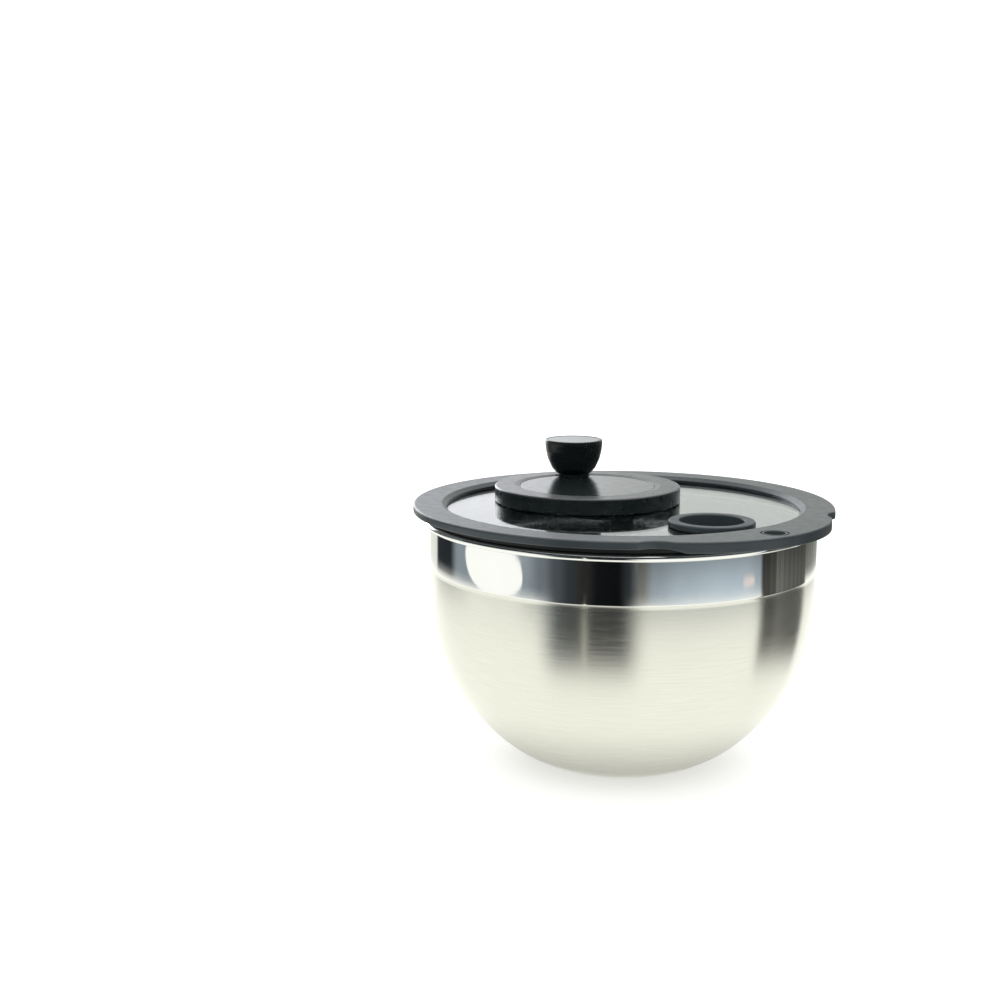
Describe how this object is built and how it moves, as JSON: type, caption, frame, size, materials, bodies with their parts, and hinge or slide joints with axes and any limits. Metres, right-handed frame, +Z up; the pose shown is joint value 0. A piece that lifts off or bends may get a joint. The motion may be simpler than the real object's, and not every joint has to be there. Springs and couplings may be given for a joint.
{
  "type": "salad spinner",
  "caption": "Steel mixing bowl with a glass lid in a rubber ring; a low crank drum on the lid spins a slotted basket inside.",
  "frame": {"origin": "centre of the bowl's flat base, on the surface that it stands on", "axes": "+Z up along the bowl axis, +X from the bowl axis to the grip tab of the lid"},
  "size_m": [0.2709, 0.2608, 0.1931],
  "materials": {
    "brushed_bowl_steel": "circular brushed body, mirror-polished band above the step",
    "lid_glass": "clear tempered glass with a faint green edge",
    "lid_rubber": "satin moulded silicone rubber",
    "gasket_rubber": "soft flat gasket",
    "black_satin_plastic": "fine satin moulded plastic",
    "knob_plastic": "satin moulded plastic, slightly polished by hands",
    "cover_plastic": "smooth satin gloss",
    "inner_plastic": "moulded plastic",
    "basket_plastic": "moulded plastic, fine grain",
    "clear_plastic": "clear moulded plastic",
    "gear_plastic": "natural acetal plastic",
    "brass": "turned",
    "steel_fastener": "plain stainless",
    "ground_steel": "ground bright",
    "cap_steel": "satin spun disc"
  },
  "bodies": {
    "bowl": {"bowl": "brushed_bowl_steel"},
    "lid": {"glass_plate": "lid_glass", "lid_ring": "lid_rubber", "thumb_well": "black_satin_plastic", "well_gasket": "gasket_rubber", "well_lock_ring": "inner_plastic", "drive_base": "inner_plastic", "upper_glass_gasket": "gasket_rubber", "lower_glass_gasket": "gasket_rubber", "clamp_plate": "inner_plastic", "clamp_screws": "steel_fastener", "shaft_bush": "brass", "post_washer": "steel_fastener", "post_screw": "steel_fastener"},
    "crank": {"crank_drum": "black_satin_plastic", "drum_cover": "cover_plastic", "ring_gear": "gear_plastic", "knob_pin": "ground_steel", "knob_screw": "steel_fastener"},
    "knob": {"knob_body": "knob_plastic", "knob_bush": "brass", "knob_cap": "cap_steel"},
    "driver": {"pinion": "gear_plastic", "drive_shaft": "ground_steel", "driver_disc": "clear_plastic", "driver_hub": "inner_plastic", "hub_screw": "steel_fastener"},
    "foot": {"basket_foot": "basket_plastic", "pivot_pin": "ground_steel", "foot_pad": "lid_rubber"},
    "basket": {"basket": "basket_plastic", "pivot_bush": "brass"}
  },
  "joints": [
    {"name": "lid_lift", "type": "slide", "parent": "bowl", "child": "lid", "axis": [0, 0, 1], "range_m": [0, 0.3]},
    {"name": "crank_spin", "type": "hinge", "parent": "lid", "child": "crank", "pos_m": [-0.034, 0, 0.1645], "axis": [0, 0, 1], "continuous": true},
    {"name": "knob_spin", "type": "hinge", "parent": "crank", "child": "knob", "pos_m": [-0.07285, 0.02066, 0.18], "axis": [0, 0, 1], "continuous": true},
    {"name": "driver_spin", "type": "hinge", "parent": "lid", "child": "driver", "pos_m": [0, 0, 0.15], "axis": [0, 0, 1], "continuous": true},
    {"name": "basket_lift", "type": "slide", "parent": "bowl", "child": "foot", "axis": [0, 0, 1], "range_m": [0, 0.15]},
    {"name": "basket_spin", "type": "hinge", "parent": "foot", "child": "basket", "pos_m": [0, 0, 0.018], "axis": [0, 0, 1], "continuous": true}
  ],
  "couplings": [
    {"joint": "driver_spin", "follows": "crank_spin", "ratio": 5},
    {"joint": "basket_spin", "follows": "crank_spin", "ratio": 5},
    {"joint": "basket_lift", "follows": "lid_lift", "ratio": 0.5}
  ]
}
